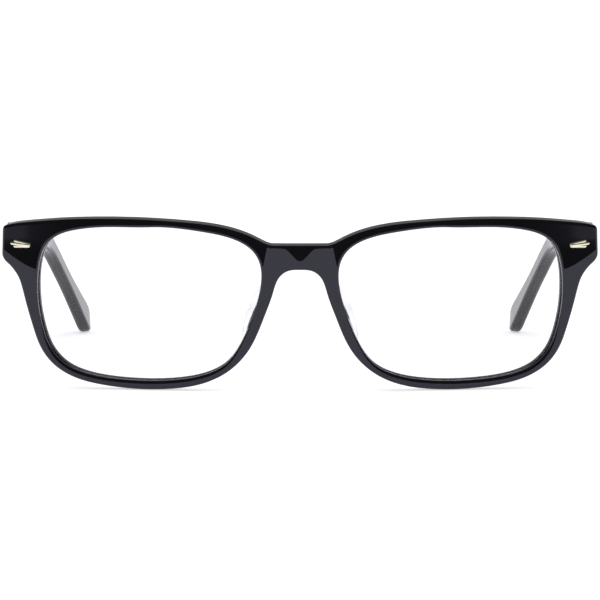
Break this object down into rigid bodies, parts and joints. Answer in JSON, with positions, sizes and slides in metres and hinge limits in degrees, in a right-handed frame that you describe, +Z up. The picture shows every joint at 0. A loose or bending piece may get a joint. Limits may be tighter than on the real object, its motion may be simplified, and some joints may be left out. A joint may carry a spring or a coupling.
{
  "type": "eyeglasses frame",
  "caption": "Full-rim black acetate eyeglasses frame with clear lenses, clear nose pads, metal end-piece trim and temples that fold on barrel hinges.",
  "frame": {"origin": "middle of the bounding box's underside: the surface that the rims and the temple tips stand on", "axes": "+Z up, the front looks along -Y, the temples run along +Y, +X is the wearer's left"},
  "size_m": [0.1398, 0.1464, 0.0409],
  "materials": {
    "black_acetate": "tumbled and polished cellulose acetate",
    "clear_lens": "clear demonstration lens",
    "clear_acetate": "clear polished acetate",
    "champagne_metal": "polished pale gold plating",
    "hinge_steel": "nickel silver",
    "screw_steel": "polished stainless steel",
    "core_metal": "drawn nickel silver wire"
  },
  "bodies": {
    "front": {"front_frame": "black_acetate", "lens_left": "clear_lens", "lens_right": "clear_lens", "nose_pad_left": "clear_acetate", "nose_pad_right": "clear_acetate", "front_plaque_left": "champagne_metal", "front_plaque_right": "champagne_metal", "front_hinge_left": "hinge_steel", "front_hinge_right": "hinge_steel", "hinge_screw_left": "screw_steel", "hinge_screw_right": "screw_steel"},
    "temple_left": {"temple_left": "black_acetate", "temple_hinge_left": "hinge_steel", "core_wire_left": "core_metal"},
    "temple_right": {"temple_right": "black_acetate", "temple_hinge_right": "hinge_steel", "core_wire_right": "core_metal"}
  },
  "joints": [
    {"name": "left_temple_fold", "type": "hinge", "parent": "front", "child": "temple_left", "pos_m": [0.06269, -0.0591, 0.0344], "axis": [-0.0016, 0.0697, 0.9976], "range_deg": [0, 86]},
    {"name": "right_temple_fold", "type": "hinge", "parent": "front", "child": "temple_right", "pos_m": [-0.06269, -0.0591, 0.0344], "axis": [-0.0016, -0.0697, -0.9976], "range_deg": [0, 74]}
  ]
}
